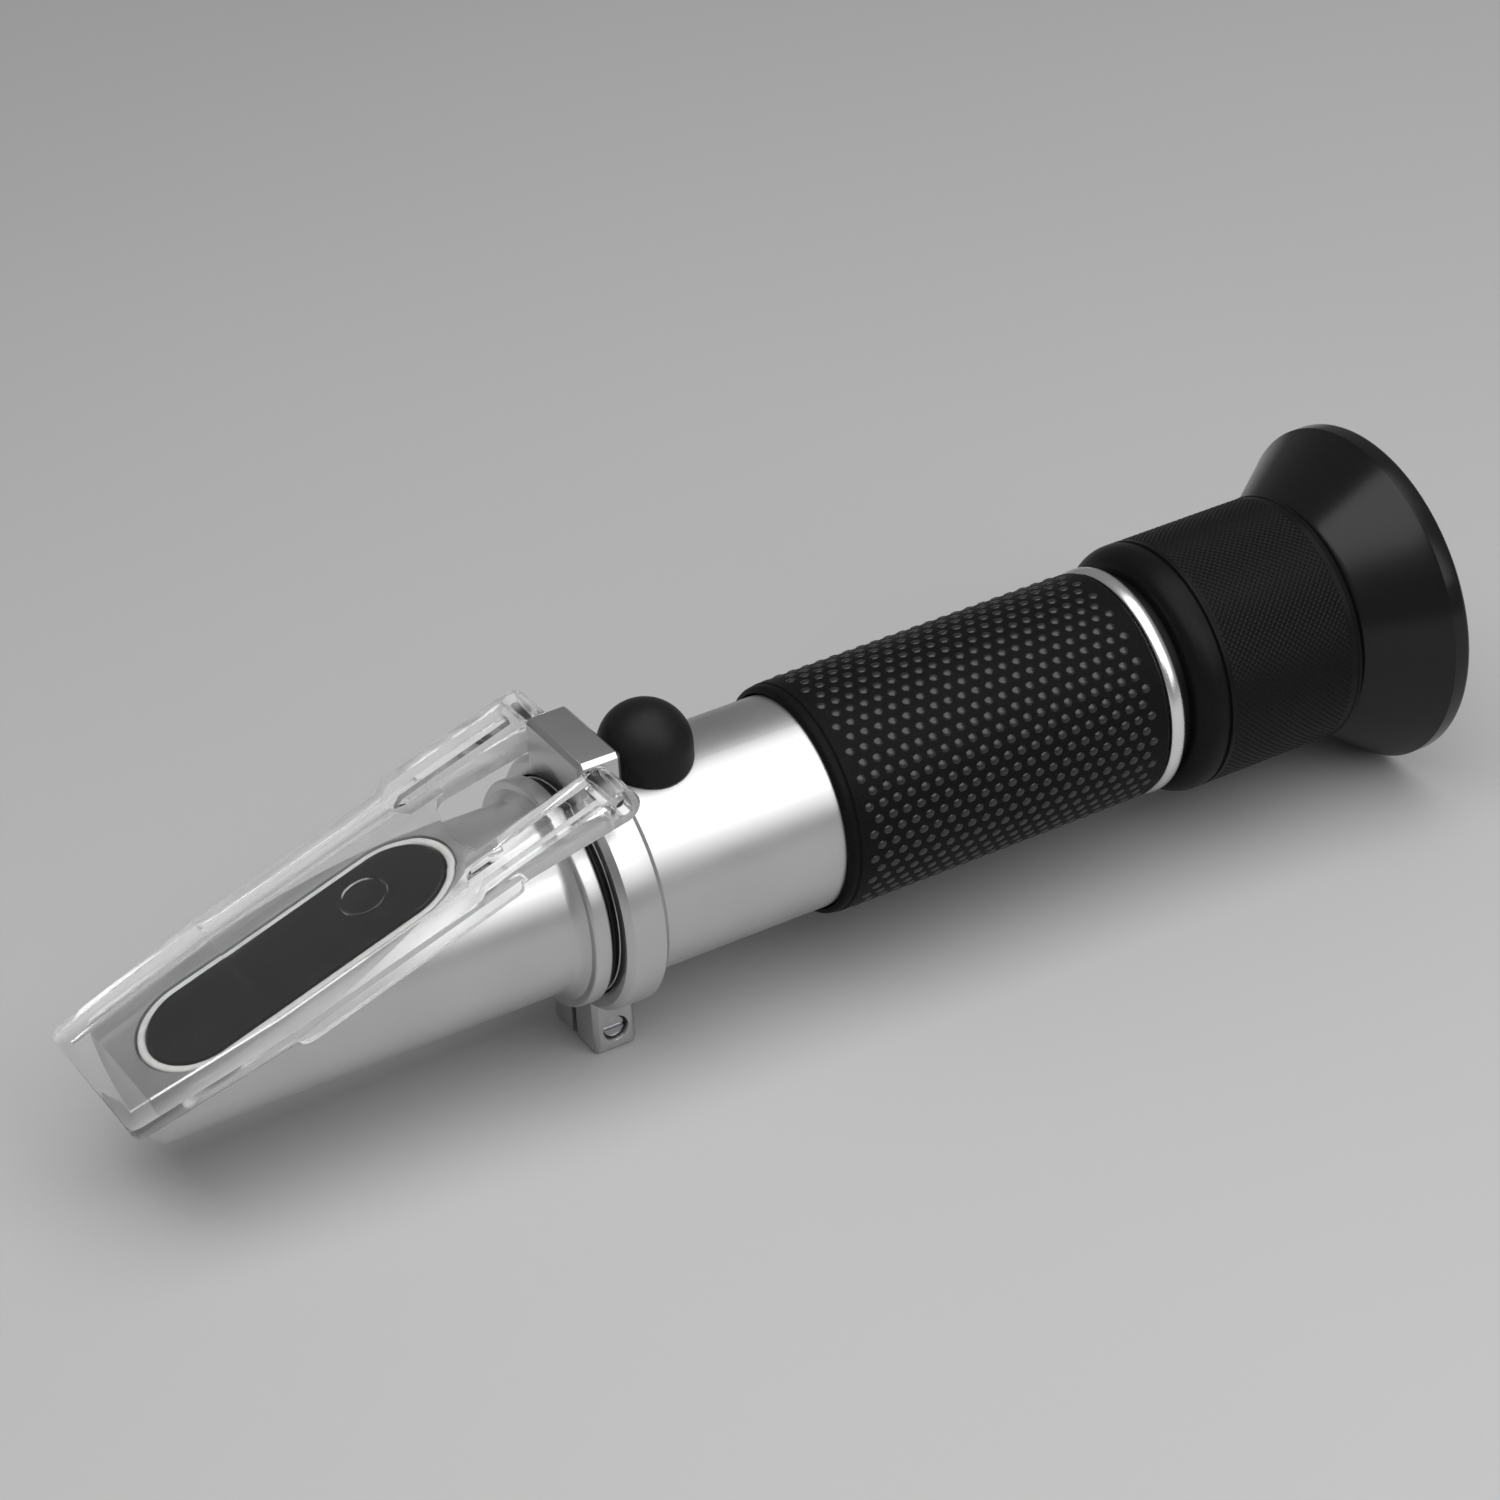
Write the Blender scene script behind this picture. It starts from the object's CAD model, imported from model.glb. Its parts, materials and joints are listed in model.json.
"""The looks of a brix refractometer: its finishes, its fine detail and the table that it lies on.

Everything is in metres. The optical axis runs along +X, from the prism to the eyecup, and +Z is up.
"""

import json
import math

import bpy
from bpy.props import FloatProperty, FloatVectorProperty, IntProperty, PointerProperty
from mathutils import Matrix, Vector

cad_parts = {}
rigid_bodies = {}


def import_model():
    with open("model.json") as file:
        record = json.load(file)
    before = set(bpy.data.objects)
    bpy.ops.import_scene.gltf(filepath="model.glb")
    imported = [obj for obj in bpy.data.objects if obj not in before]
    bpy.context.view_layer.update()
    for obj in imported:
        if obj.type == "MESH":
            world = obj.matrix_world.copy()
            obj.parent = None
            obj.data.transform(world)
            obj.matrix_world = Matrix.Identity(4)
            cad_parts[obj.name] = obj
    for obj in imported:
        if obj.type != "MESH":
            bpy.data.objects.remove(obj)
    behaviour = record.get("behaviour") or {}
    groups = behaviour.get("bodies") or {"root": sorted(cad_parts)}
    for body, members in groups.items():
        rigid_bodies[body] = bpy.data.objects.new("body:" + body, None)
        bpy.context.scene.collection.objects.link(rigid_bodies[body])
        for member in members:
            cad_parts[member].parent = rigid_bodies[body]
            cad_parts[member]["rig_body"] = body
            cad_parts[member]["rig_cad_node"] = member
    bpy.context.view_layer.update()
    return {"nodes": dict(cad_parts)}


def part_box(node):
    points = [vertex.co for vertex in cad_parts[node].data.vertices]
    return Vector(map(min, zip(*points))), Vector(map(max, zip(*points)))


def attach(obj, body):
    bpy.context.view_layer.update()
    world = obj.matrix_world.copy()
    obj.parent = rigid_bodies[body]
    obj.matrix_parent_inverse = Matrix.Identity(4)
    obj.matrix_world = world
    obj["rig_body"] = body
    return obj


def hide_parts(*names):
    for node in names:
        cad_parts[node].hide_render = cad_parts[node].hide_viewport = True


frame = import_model()

bl_info = {
    "name": "Brix Refractometer",
    "version": (1, 0, 0),
    "blender": (4, 5, 0),
    "location": "View3D > Sidebar > Refractometer",
    "description": "Builds the finished pieces of a brix refractometer round its frame",
    "category": "Add Mesh",
}

MERGE = 0.000001
POLE = 0.00005
GAP = 0.0003
EDGE_STEPS = 4
ROUND_SIDES = 144
RING_SIDES = 96
SMALL_SIDES = 64
FLAT_ANGLE = math.radians(0.6)
SHARP_ANGLE = math.radians(32)
BEVEL_ANGLE = math.radians(40)
ORIGIN = Vector((0, 0, 0))
AXES = {"X": ((0, math.pi / 2, 0), Vector((1, 0, 0))),
        "Y": ((-math.pi / 2, 0, 0), Vector((0, 1, 0))),
        "Z": ((0, 0, 0), Vector((0, 0, 1)))}

# How small pieces are rounded, as shares of the fine bevel
STEEL_EDGE = 0.5
INNER_EDGE = 0.4
RING_EDGE = 0.6

barrel_low, barrel_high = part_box("barrel")
AXIS_HEIGHT = (barrel_low.z + barrel_high.z) / 2
OPTICAL_AXIS = Vector((0, 0, AXIS_HEIGHT))
pin_low, pin_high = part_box("hinge_pin")
PIN = (pin_low + pin_high) / 2
PLATE_TILT = math.radians(18.5)

# The window, from the bead's box, which holds a slab at the plate's tilt
BEAD_DEPTH = 0.0010
BEAD_WIDTH = 0.0010
BEAD_STEPS = 8
WINDOW_SIDES = 72
seal_low, seal_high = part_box("prism_seal")
SEAL_MIDDLE = (seal_low + seal_high) / 2
SEAL_LENGTH = (seal_high.x - seal_low.x - BEAD_DEPTH * math.sin(PLATE_TILT)) / math.cos(PLATE_TILT)
SEAL_HALF_WIDTH = seal_high.y
WINDOW_STRETCH = SEAL_LENGTH - 2 * SEAL_HALF_WIDTH


# Settings

def length_setting(name, description, default):
    """A length that a user can change."""
    return FloatProperty(name=name, description=description, default=default, unit="LENGTH", precision=5)


def colour_setting(name, description, default):
    """A colour that a user can change."""
    return FloatVectorProperty(name=name, description=description, default=default, subtype="COLOR",
                               size=3, min=0, max=1)


class RefractometerSizes(bpy.types.PropertyGroup):
    nub_pitch: length_setting("Nub pitch", "Distance between two nubs of one row on the grip", 0.00205)
    nub_rows: IntProperty(name="Nub rows", description="Rows of nubs round the grip", default=52, min=4)
    nub_length: length_setting("Nub length", "Length of one nub along the grip", 0.0015)
    nub_width: length_setting("Nub width", "Width of one nub round the grip", 0.0013)
    nub_height: length_setting("Nub height", "How far a nub stands out of the grip", 0.00014)
    grip_border: length_setting("Grip border", "Plain strip at the grip's front", 0.0014)
    knurl_teeth: IntProperty(name="Knurl teeth", description="Points of the knurl round the focus ring",
                             default=120, min=12)
    knurl_depth: length_setting("Knurl depth", "How deep the knurl is cut", 0.00012)
    mark_radius: length_setting("Mark radius", "Radius of the moulding mark on the clear plate", 0.0030)
    fine_bevel: length_setting("Fine bevel", "Rounding of the machined edges", 0.00022)
    soft_bevel: length_setting("Soft bevel", "Rounding of the moulded edges", 0.00042)


class RefractometerColours(bpy.types.PropertyGroup):
    aluminium: colour_setting("Aluminium", "Satin metal of the body", (0.60, 0.60, 0.605))
    bright: colour_setting("Bright metal", "Polished trim ring", (0.86, 0.86, 0.86))
    steel: colour_setting("Steel", "Pin, screws and nut", (0.52, 0.52, 0.53))
    brass: colour_setting("Brass", "Zero screw under the cap", (0.62, 0.50, 0.25))
    rubber: colour_setting("Rubber", "Grip and cap", (0.005, 0.005, 0.005))
    eyecup: colour_setting("Eyecup rubber", "Smooth soft rubber", (0.005, 0.005, 0.005))
    plastic: colour_setting("Black plastic", "Focus ring", (0.005, 0.005, 0.005))
    blackened: colour_setting("Blackened metal", "Sleeves inside the barrel", (0.02, 0.02, 0.02))
    clear: colour_setting("Clear plastic", "Daylight plate", (0.97, 0.97, 0.97))
    prism: colour_setting("Prism", "Dark face of the prism", (0.006, 0.006, 0.007))
    bead: colour_setting("Bead", "Sealing bead round the prism", (0.52, 0.52, 0.51))
    pin: colour_setting("Dark steel", "Hinge pin", (0.09, 0.09, 0.095))
    floor: colour_setting("Table", "Pale table top", (0.50, 0.50, 0.50))


class RefractometerView(bpy.types.PropertyGroup):
    eye: FloatVectorProperty(name="Camera place", description="Where the camera stands",
                             subtype="TRANSLATION", size=3, default=(-0.23345, -0.4098, 0.3312))
    look: FloatVectorProperty(name="Camera direction", description="Where the camera looks",
                              subtype="DIRECTION", size=3, default=(0.4149, 0.7352, -0.5361))
    upright: FloatVectorProperty(name="Camera up", description="The picture's upward direction",
                                 subtype="DIRECTION", size=3, default=(0.312, 0.4385, 0.8428))
    lens: FloatProperty(name="Lens", description="Focal length in millimetres", default=108.0, min=10)


def sizes():
    """The sizes that are set in the sidebar."""
    return bpy.context.scene.refractometer_sizes


def colours():
    """The colours that are set in the sidebar."""
    return bpy.context.scene.refractometer_colours


# Finishes

EVEN = (1, 1, 1)
TURNED = (1, 0.02, 0.02)
HAZE_STRETCH = (1, 3, 1)
CLEAR_SHADOW = (0.88, 0.88, 0.88, 1)

# How far in from the plate's edge its walls start to cloud and are full, and what they add to the haze
WALL_START = 0.0040
WALL_FULL = 0.0025
WALL_HAZE = 0.06


def new_finish(name, colour, metallic=0.0, roughness=0.5):
    """A material with its Principled shader set to the plain values."""
    finish = bpy.data.materials.new(name)
    finish.use_nodes = True
    shader = finish.node_tree.nodes["Principled BSDF"]
    shader.inputs["Base Color"].default_value = (*colour, 1)
    shader.inputs["Metallic"].default_value = metallic
    shader.inputs["Roughness"].default_value = roughness
    finish.diffuse_color = (*colour, 1)
    return finish, finish.node_tree, shader


def object_pattern(tree, stretch):
    """Object coordinates, stretched for the pattern that reads them."""
    place = tree.nodes.new("ShaderNodeTexCoord")
    mapping = tree.nodes.new("ShaderNodeMapping")
    mapping.inputs["Scale"].default_value = stretch
    tree.links.new(place.outputs["Object"], mapping.inputs["Vector"])
    return mapping.outputs["Vector"]


def noise(tree, scale, detail, stretch=EVEN):
    """A cloudy pattern on the piece. A larger scale makes it finer."""
    vector = object_pattern(tree, stretch)
    grain = tree.nodes.new("ShaderNodeTexNoise")
    grain.inputs["Scale"].default_value = scale
    grain.inputs["Detail"].default_value = detail
    tree.links.new(vector, grain.inputs["Vector"])
    return grain.outputs["Fac"]


def spread(tree, value, low, high, start=0.3, end=0.7):
    """Map a pattern's middle range to two values."""
    ranges = tree.nodes.new("ShaderNodeMapRange")
    ranges.inputs["From Min"].default_value = start
    ranges.inputs["From Max"].default_value = end
    ranges.inputs["To Min"].default_value = low
    ranges.inputs["To Max"].default_value = high
    tree.links.new(value, ranges.inputs["Value"])
    return ranges.outputs["Result"]


def vary_gloss(tree, shader, value, low, high):
    """Roughness that wanders between two values."""
    tree.links.new(spread(tree, value, low, high), shader.inputs["Roughness"])


def tint(tree, shader, value, colour, dark, light):
    """Colour that wanders between two tones of it, each given as a factor."""
    share = spread(tree, value, 0, 1)
    mix = tree.nodes.new("ShaderNodeMix")
    mix.data_type = "RGBA"
    mix.inputs["A"].default_value = (*shade(colour, dark), 1)
    mix.inputs["B"].default_value = (*shade(colour, light), 1)
    tree.links.new(share, mix.inputs["Factor"])
    tree.links.new(mix.outputs["Result"], shader.inputs["Base Color"])


def bump(tree, shader, value, depth, strength):
    """Fine relief that follows a pattern."""
    relief = tree.nodes.new("ShaderNodeBump")
    relief.inputs["Distance"].default_value = depth
    relief.inputs["Strength"].default_value = strength
    tree.links.new(value, relief.inputs["Height"])
    tree.links.new(relief.outputs["Normal"], shader.inputs["Normal"])


def shade(colour, factor):
    """A darker or lighter tone of a colour."""
    return tuple(min(1.0, channel * factor) for channel in colour)


def satin_metal(name, colour, roughness, grain=EVEN):
    """Blasted and anodised metal: a fine grain, slow changes of sheen and a faint cloudiness."""
    finish, tree, shader = new_finish(name, colour, metallic=1.0, roughness=roughness)
    fine = noise(tree, scale=9000, detail=2, stretch=grain)
    slow = noise(tree, scale=90, detail=3)
    vary_gloss(tree, shader, slow, low=roughness * 0.94, high=roughness * 1.07)
    tint(tree, shader, slow, colour, dark=0.97, light=1.03)
    bump(tree, shader, fine, depth=0.000006, strength=0.5)
    return finish


def turned_metal(name, colour, roughness):
    """Lathe-turned metal: fine rings across the axis."""
    return satin_metal(name, colour, roughness, TURNED)


def black_rubber(name, colour, roughness, depth=0.00002, scale=2600, shine=0.25):
    """Moulded rubber: a fine pebble, patches where hands have rubbed it, and dust in the low places."""
    finish, tree, shader = new_finish(name, colour, roughness=roughness)
    pebble = noise(tree, scale, detail=5)
    rubbed = noise(tree, scale=60, detail=4)
    vary_gloss(tree, shader, rubbed, low=roughness * 0.85, high=roughness * 1.15)
    tint(tree, shader, pebble, colour, dark=0.8, light=1.5)
    bump(tree, shader, pebble, depth, strength=0.6)
    shader.inputs["Specular IOR Level"].default_value = shine
    return finish


def math_node(tree, operation, first, second=None):
    """One Math node. Each input is a socket or a number."""
    node = tree.nodes.new("ShaderNodeMath")
    node.operation = operation
    for socket, value in zip(node.inputs, (first, second)):
        if isinstance(value, bpy.types.NodeSocket):
            tree.links.new(value, socket)
        elif value is not None:
            socket.default_value = value
    return node.outputs["Value"]


def clear_plastic(name, colour):
    """Clear moulded plastic: faint haze, handling marks in the gloss and side walls that are cloudier."""
    finish, tree, shader = new_finish(name, colour, roughness=0.05)
    shader.inputs["IOR"].default_value = 1.36
    shader.inputs["Specular IOR Level"].default_value = 0.45
    haze = noise(tree, scale=160, detail=5, stretch=HAZE_STRETCH)
    across = tree.nodes.new("ShaderNodeSeparateXYZ")
    tree.links.new(object_pattern(tree, EVEN), across.inputs["Vector"])
    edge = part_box("daylight_plate")[1].y
    aside = math_node(tree, "ABSOLUTE", across.outputs["Y"])
    wall = spread(tree, aside, low=0, high=1, start=edge - WALL_START, end=edge - WALL_FULL)
    clearness = spread(tree, wall, low=0.994, high=0.85, start=0, end=1)
    tree.links.new(clearness, shader.inputs["Transmission Weight"])
    marks = spread(tree, haze, low=0.02, high=0.04)
    gloss = math_node(tree, "ADD", marks, math_node(tree, "MULTIPLY", wall, WALL_HAZE))
    tree.links.new(gloss, shader.inputs["Roughness"])
    tint(tree, shader, haze, colour, dark=0.97, light=1)
    return light_through(tree, shader, finish)


def light_through(tree, shader, finish):
    """Let lamps shine through a clear piece, which a shadow ray would otherwise stop."""
    ray = tree.nodes.new("ShaderNodeLightPath")
    open_way = tree.nodes.new("ShaderNodeBsdfTransparent")
    open_way.inputs["Color"].default_value = CLEAR_SHADOW
    mix = tree.nodes.new("ShaderNodeMixShader")
    tree.links.new(ray.outputs["Is Shadow Ray"], mix.inputs["Fac"])
    tree.links.new(shader.outputs["BSDF"], mix.inputs[1])
    tree.links.new(open_way.outputs["BSDF"], mix.inputs[2])
    tree.links.new(mix.outputs["Shader"], tree.nodes["Material Output"].inputs["Surface"])
    return finish


def dark_glass(name, colour):
    """The prism's polished face over its blackened sides."""
    finish, tree, shader = new_finish(name, colour, roughness=0.10)
    film = noise(tree, scale=220, detail=4)
    vary_gloss(tree, shader, film, low=0.06, high=0.16)
    tint(tree, shader, film, colour, dark=0.8, light=1.3)
    shader.inputs["IOR"].default_value = 1.6
    shader.inputs["Specular IOR Level"].default_value = 0.15
    return finish


def lens_glass(name):
    """Coated optical glass with a faint film."""
    finish, tree, shader = new_finish(name, colour=(0.93, 0.95, 0.96), roughness=0.03)
    shader.inputs["Transmission Weight"].default_value = 0.95
    shader.inputs["IOR"].default_value = 1.52
    vary_gloss(tree, shader, noise(tree, scale=300, detail=3), low=0.02, high=0.06)
    return light_through(tree, shader, finish)


def bead_finish(name, colour):
    """Pale sealing compound, a little uneven."""
    finish, tree, shader = new_finish(name, colour, roughness=0.45)
    lumps = noise(tree, scale=700, detail=3)
    vary_gloss(tree, shader, lumps, low=0.38, high=0.55)
    tint(tree, shader, lumps, colour, dark=0.93, light=1.03)
    bump(tree, shader, lumps, depth=0.00003, strength=0.5)
    return finish


def table_finish(name, colour):
    """Plain matt table top with a very slight tooth."""
    finish, tree, shader = new_finish(name, colour, roughness=0.75)
    tooth = noise(tree, scale=700, detail=4)
    slow = noise(tree, scale=4, detail=2)
    tint(tree, shader, slow, colour, dark=0.98, light=1.02)
    bump(tree, shader, tooth, depth=0.00005, strength=0.25)
    return finish


def paint(piece, finish):
    """Give a piece one finish."""
    piece.data.materials.clear()
    piece.data.materials.append(finish)


# Modelling by hand

def object_mode():
    """Leave edit mode."""
    if bpy.context.object and bpy.context.object.mode != "OBJECT":
        bpy.ops.object.mode_set(mode="OBJECT")


def edit_all():
    """Enter edit mode with the whole mesh selected."""
    bpy.ops.object.mode_set(mode="EDIT")
    bpy.ops.mesh.select_all(action="SELECT")


def deselect():
    """Select nothing, in object mode."""
    object_mode()
    bpy.ops.object.select_all(action="DESELECT")


def pick(piece):
    """Select one piece alone and make it the active one."""
    deselect()
    piece.select_set(True)
    bpy.context.view_layer.objects.active = piece


def turn(name, stations, sides=ROUND_SIDES, axis="X", centre=OPTICAL_AXIS):
    """Turn a piece by hand: a circle is extruded from station to station and drawn in or out.

    A station is (place along the axis, radius). A section that starts and ends on the axis is closed
    there, and any other one is closed by a last step back to its first station.
    """
    deselect()
    rotation, direction = AXES[axis]
    solid = not stations[0][1]
    path = [(place, radius or POLE) for place, radius in stations]
    if not solid:
        path.append(path[0])
    place, radius = path[0]
    first = centre + direction * place
    bpy.ops.mesh.primitive_circle_add(vertices=sides, radius=radius, location=first, rotation=rotation)
    piece = bpy.context.object
    piece.name = name
    piece.data.name = name
    bpy.ops.object.mode_set(mode="EDIT")
    draw_out(path, direction, centre)
    if solid:
        bpy.ops.mesh.merge(type="CENTER")
        select_points(piece, lambda point: (point - first).length < 2 * POLE)
        bpy.ops.mesh.merge(type="CENTER")
    tidy_mesh()
    object_mode()
    settle(piece)
    return piece


def draw_out(path, direction, centre):
    """Extrude the open circle from station to station, and draw it in or out at each."""
    place, radius = path[0]
    for next_place, next_radius in path[1:]:
        bpy.ops.mesh.extrude_edges_move(TRANSFORM_OT_translate={"value": direction * (next_place - place)})
        share = next_radius / radius
        bpy.ops.transform.resize(value=[1 if part else share for part in direction],
                                 center_override=centre + direction * next_place)
        place, radius = next_place, next_radius


def select_points(piece, wanted):
    """Select the vertices whose place in the world passes a test, and stay in edit mode."""
    bpy.ops.object.mode_set(mode="EDIT")
    bpy.ops.mesh.select_mode(type="VERT")
    bpy.ops.mesh.select_all(action="DESELECT")
    object_mode()
    for vertex in piece.data.vertices:
        vertex.select = wanted(piece.matrix_world @ vertex.co)
    bpy.ops.object.mode_set(mode="EDIT")


def stretch_window(piece, length):
    """Pull the two halves of a round piece apart along X, and lay it at the tilt of the plate."""
    for side in (-1, 1):
        select_points(piece, lambda point: point.x * side > 0)
        bpy.ops.transform.translate(value=(side * length / 2, 0, 0))
    object_mode()


def window_piece(name, stations, middle):
    """A round-ended piece for the window: turned upright, pulled long, tilted and put in its place."""
    piece = turn(name, stations, WINDOW_SIDES, "Z", ORIGIN)
    pick(piece)
    edit_all()
    bpy.ops.transform.rotate(value=math.pi / WINDOW_SIDES, orient_axis="Z", center_override=(0, 0, 0))
    stretch_window(piece, WINDOW_STRETCH)
    piece.rotation_euler = (0, -PLATE_TILT, 0)
    piece.location = middle
    settle(piece)
    return piece


def tidy_mesh():
    """Merge doubles and point the faces outwards, in edit mode."""
    bpy.ops.mesh.select_all(action="SELECT")
    bpy.ops.mesh.remove_doubles(threshold=MERGE)
    bpy.ops.mesh.normals_make_consistent(inside=False)


def settle(piece):
    """Put the piece's place and turn in its mesh."""
    pick(piece)
    bpy.ops.object.transform_apply(location=True, rotation=True, scale=True)


def apply_modifiers(piece):
    """Work every modifier into the mesh."""
    pick(piece)
    for modifier in list(piece.modifiers):
        bpy.ops.object.modifier_apply(modifier=modifier.name)


def round_edges(piece, width, segments=3):
    """Round the sharp edges, as a file or a mould would."""
    bevel = piece.modifiers.new("Round", "BEVEL")
    bevel.width = width
    bevel.segments = segments
    bevel.limit_method = "ANGLE"
    bevel.angle_limit = BEVEL_ANGLE
    bevel.use_clamp_overlap = True
    bevel.harden_normals = False
    apply_modifiers(piece)


def smooth(piece, angle=SHARP_ANGLE):
    """Shade smooth up to an angle between faces."""
    pick(piece)
    bpy.ops.object.shade_smooth_by_angle(angle=angle)


def copy_of(node, name):
    """A separate, merged copy of a frame piece, with its flat faces whole again."""
    deselect()
    source = frame["nodes"][node]
    piece = source.copy()
    piece.data = source.data.copy()
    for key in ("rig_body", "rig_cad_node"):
        del piece[key]
    piece.parent = None
    piece.name = name
    piece.data.name = name
    bpy.context.scene.collection.objects.link(piece)
    pick(piece)
    bpy.ops.object.mode_set(mode="EDIT")
    tidy_mesh()
    bpy.ops.mesh.dissolve_limited(angle_limit=FLAT_ANGLE)
    object_mode()
    return piece


def stand_for(piece, body, slot, *nodes):
    """Let a finished piece replace its frame pieces and ride on their body."""
    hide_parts(*nodes)
    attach(piece, body)


def complete(piece, finish, body, slot, *nodes, angle=SHARP_ANGLE):
    """Paint and smooth a piece that is ready, and let it stand for its frame pieces."""
    paint(piece, finish)
    smooth(piece, angle)
    stand_for(piece, body, slot, *nodes)


def quarter(centre, radii, start, end, steps):
    """Stations along part of an ellipse, by angle in degrees from +X."""
    points = []
    for index in range(steps + 1):
        angle = math.radians(start + (end - start) * index / steps)
        points.append((centre[0] + radii[0] * math.cos(angle), centre[1] + radii[1] * math.sin(angle)))
    return points


def soft_end(place, radius, edge, towards=1):
    """Stations of a rounded outer end. The piece lies behind it where towards is 1."""
    corner = (place + towards * edge, radius - edge)
    return quarter(corner, (-towards * edge, edge), 0, 90, EDGE_STEPS)[::towards]


def bore_of(node, axis=OPTICAL_AXIS):
    """Smallest radius of a frame piece round the optical axis."""
    source = frame["nodes"][node]
    points = [source.matrix_world @ vertex.co - axis for vertex in source.data.vertices]
    return min(math.hypot(point.y, point.z) for point in points)


def curve_between(start, corner, end, steps):
    """Stations of a soft bend that leans towards the corner."""
    points = []
    for index in range(steps + 1):
        share = index / steps
        near, middle, far = (1 - share) ** 2, 2 * share * (1 - share), share ** 2
        points.append(tuple(near * a + middle * b + far * c for a, b, c in zip(start, corner, end)))
    return points


def ring_of(node):
    """(front, rear, outer radius) of a turned frame piece."""
    low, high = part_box(node)
    return low.x, high.x, (high.y - low.y) / 2


def rows_round(piece, pitch, length, rows):
    """Repeat one small form along X, as two staggered rows, and the two rows in steps round the axis."""
    row = piece.modifiers.new("Row", "ARRAY")
    row.count = int(length / pitch) + 1
    row.use_relative_offset = False
    row.use_constant_offset = True
    row.constant_offset_displace = (pitch, 0, 0)
    apply_modifiers(piece)
    step = 2 * math.pi / rows
    edit_all()
    bpy.ops.mesh.duplicate()
    bpy.ops.transform.translate(value=(pitch / 2, 0, 0))
    bpy.ops.transform.rotate(value=step, orient_axis="X", center_override=OPTICAL_AXIS)
    bpy.ops.mesh.select_all(action="SELECT")
    for _ in range(1, rows // 2):
        bpy.ops.mesh.duplicate()
        bpy.ops.transform.rotate(value=2 * step, orient_axis="X", center_override=OPTICAL_AXIS)
    object_mode()
    return piece


def add_cutter(name, kind, location, size, rotation=(0, 0, 0)):
    """A box or a rod that is used up by the next cut."""
    deselect()
    if kind == "BOX":
        bpy.ops.mesh.primitive_cube_add(size=1, location=location, rotation=rotation)
        bpy.context.object.scale = size
    else:
        bpy.ops.mesh.primitive_cylinder_add(vertices=SMALL_SIDES, radius=size[0], depth=size[1],
                                            location=location, rotation=rotation)
    cutter = bpy.context.object
    cutter.name = name
    settle(cutter)
    return cutter


def combine(piece, tool, operation):
    """Cut with or join a tool, and remove it."""
    step = piece.modifiers.new("Step", "BOOLEAN")
    step.operation = operation
    step.object = tool
    step.solver = "EXACT"
    apply_modifiers(piece)
    bpy.data.objects.remove(tool, do_unlink=True)
    bpy.ops.object.mode_set(mode="EDIT")
    tidy_mesh()
    object_mode()


# Operators

DRILL_RADIUS = 0.0037
TRIM_CROWN = 0.0006
TRIM_LIP = 0.0006
TRIM_STEPS = 10


class REFRACTOMETER_OT_barrel(bpy.types.Operator):
    """Satin aluminium tube, with the bright trim ring at its rear"""
    bl_idname = "refractometer.barrel"
    bl_label = "Barrel and trim ring"

    def execute(self, context):
        front, rear, radius = ring_of("barrel")
        stations = [(front, bore_of("barrel"))] + soft_end(front, radius, sizes().fine_bevel)
        stations += [(rear, radius), (rear, bore_of("barrel"))]
        barrel = turn("barrel_tube", stations)
        low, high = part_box("calibration_bush")
        middle = (low + high) / 2
        drill = add_cutter("drill", "ROD", (middle.x, 0, low.z), (DRILL_RADIUS, high.z - low.z))
        combine(barrel, drill, "DIFFERENCE")
        complete(barrel, satin_metal("Satin aluminium tube", colours().aluminium, roughness=0.37),
                 "body", "satin_aluminium", "barrel")

        front, rear, radius = ring_of("trim_ring")
        mouth = bore_of("trim_ring")
        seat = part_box("barrel")[1].y + GAP
        lip = rear - TRIM_LIP
        crown = quarter(((front + rear) / 2, radius - TRIM_CROWN), ((rear - front) / 2, TRIM_CROWN),
                        180, 0, TRIM_STEPS)
        stations = [(front, seat)] + crown + [(rear, mouth), (lip, mouth), (lip, seat)]
        ring = turn("trim_ring_bright", stations)
        complete(ring, turned_metal("Polished ring", colours().bright, roughness=0.27),
                 "body", "polished_metal", "trim_ring")
        return {"FINISHED"}


# The grip's plain strip lies a little below its nubbed ground, with a fine groove between them
STRIP_DROP = 0.00012
FINE_GROOVE = 0.0001
GRIP_FRONT_EDGE = 0.0008
GRIP_REAR_EDGE = 0.0005
REAR_BORDER_SHARE = 0.6
RUBBED_SHADE = 1.8

# A nub's outline: its places up from the ground and out from its middle, in nub heights and half widths
NUB_OUTLINE = ((-1, 0), (-1, 1), (0.1, 0.9), (0.75, 0.55), (1, 0))
NUB_SIDES = 8
NUB_SHARP_ANGLE = math.radians(80)


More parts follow.
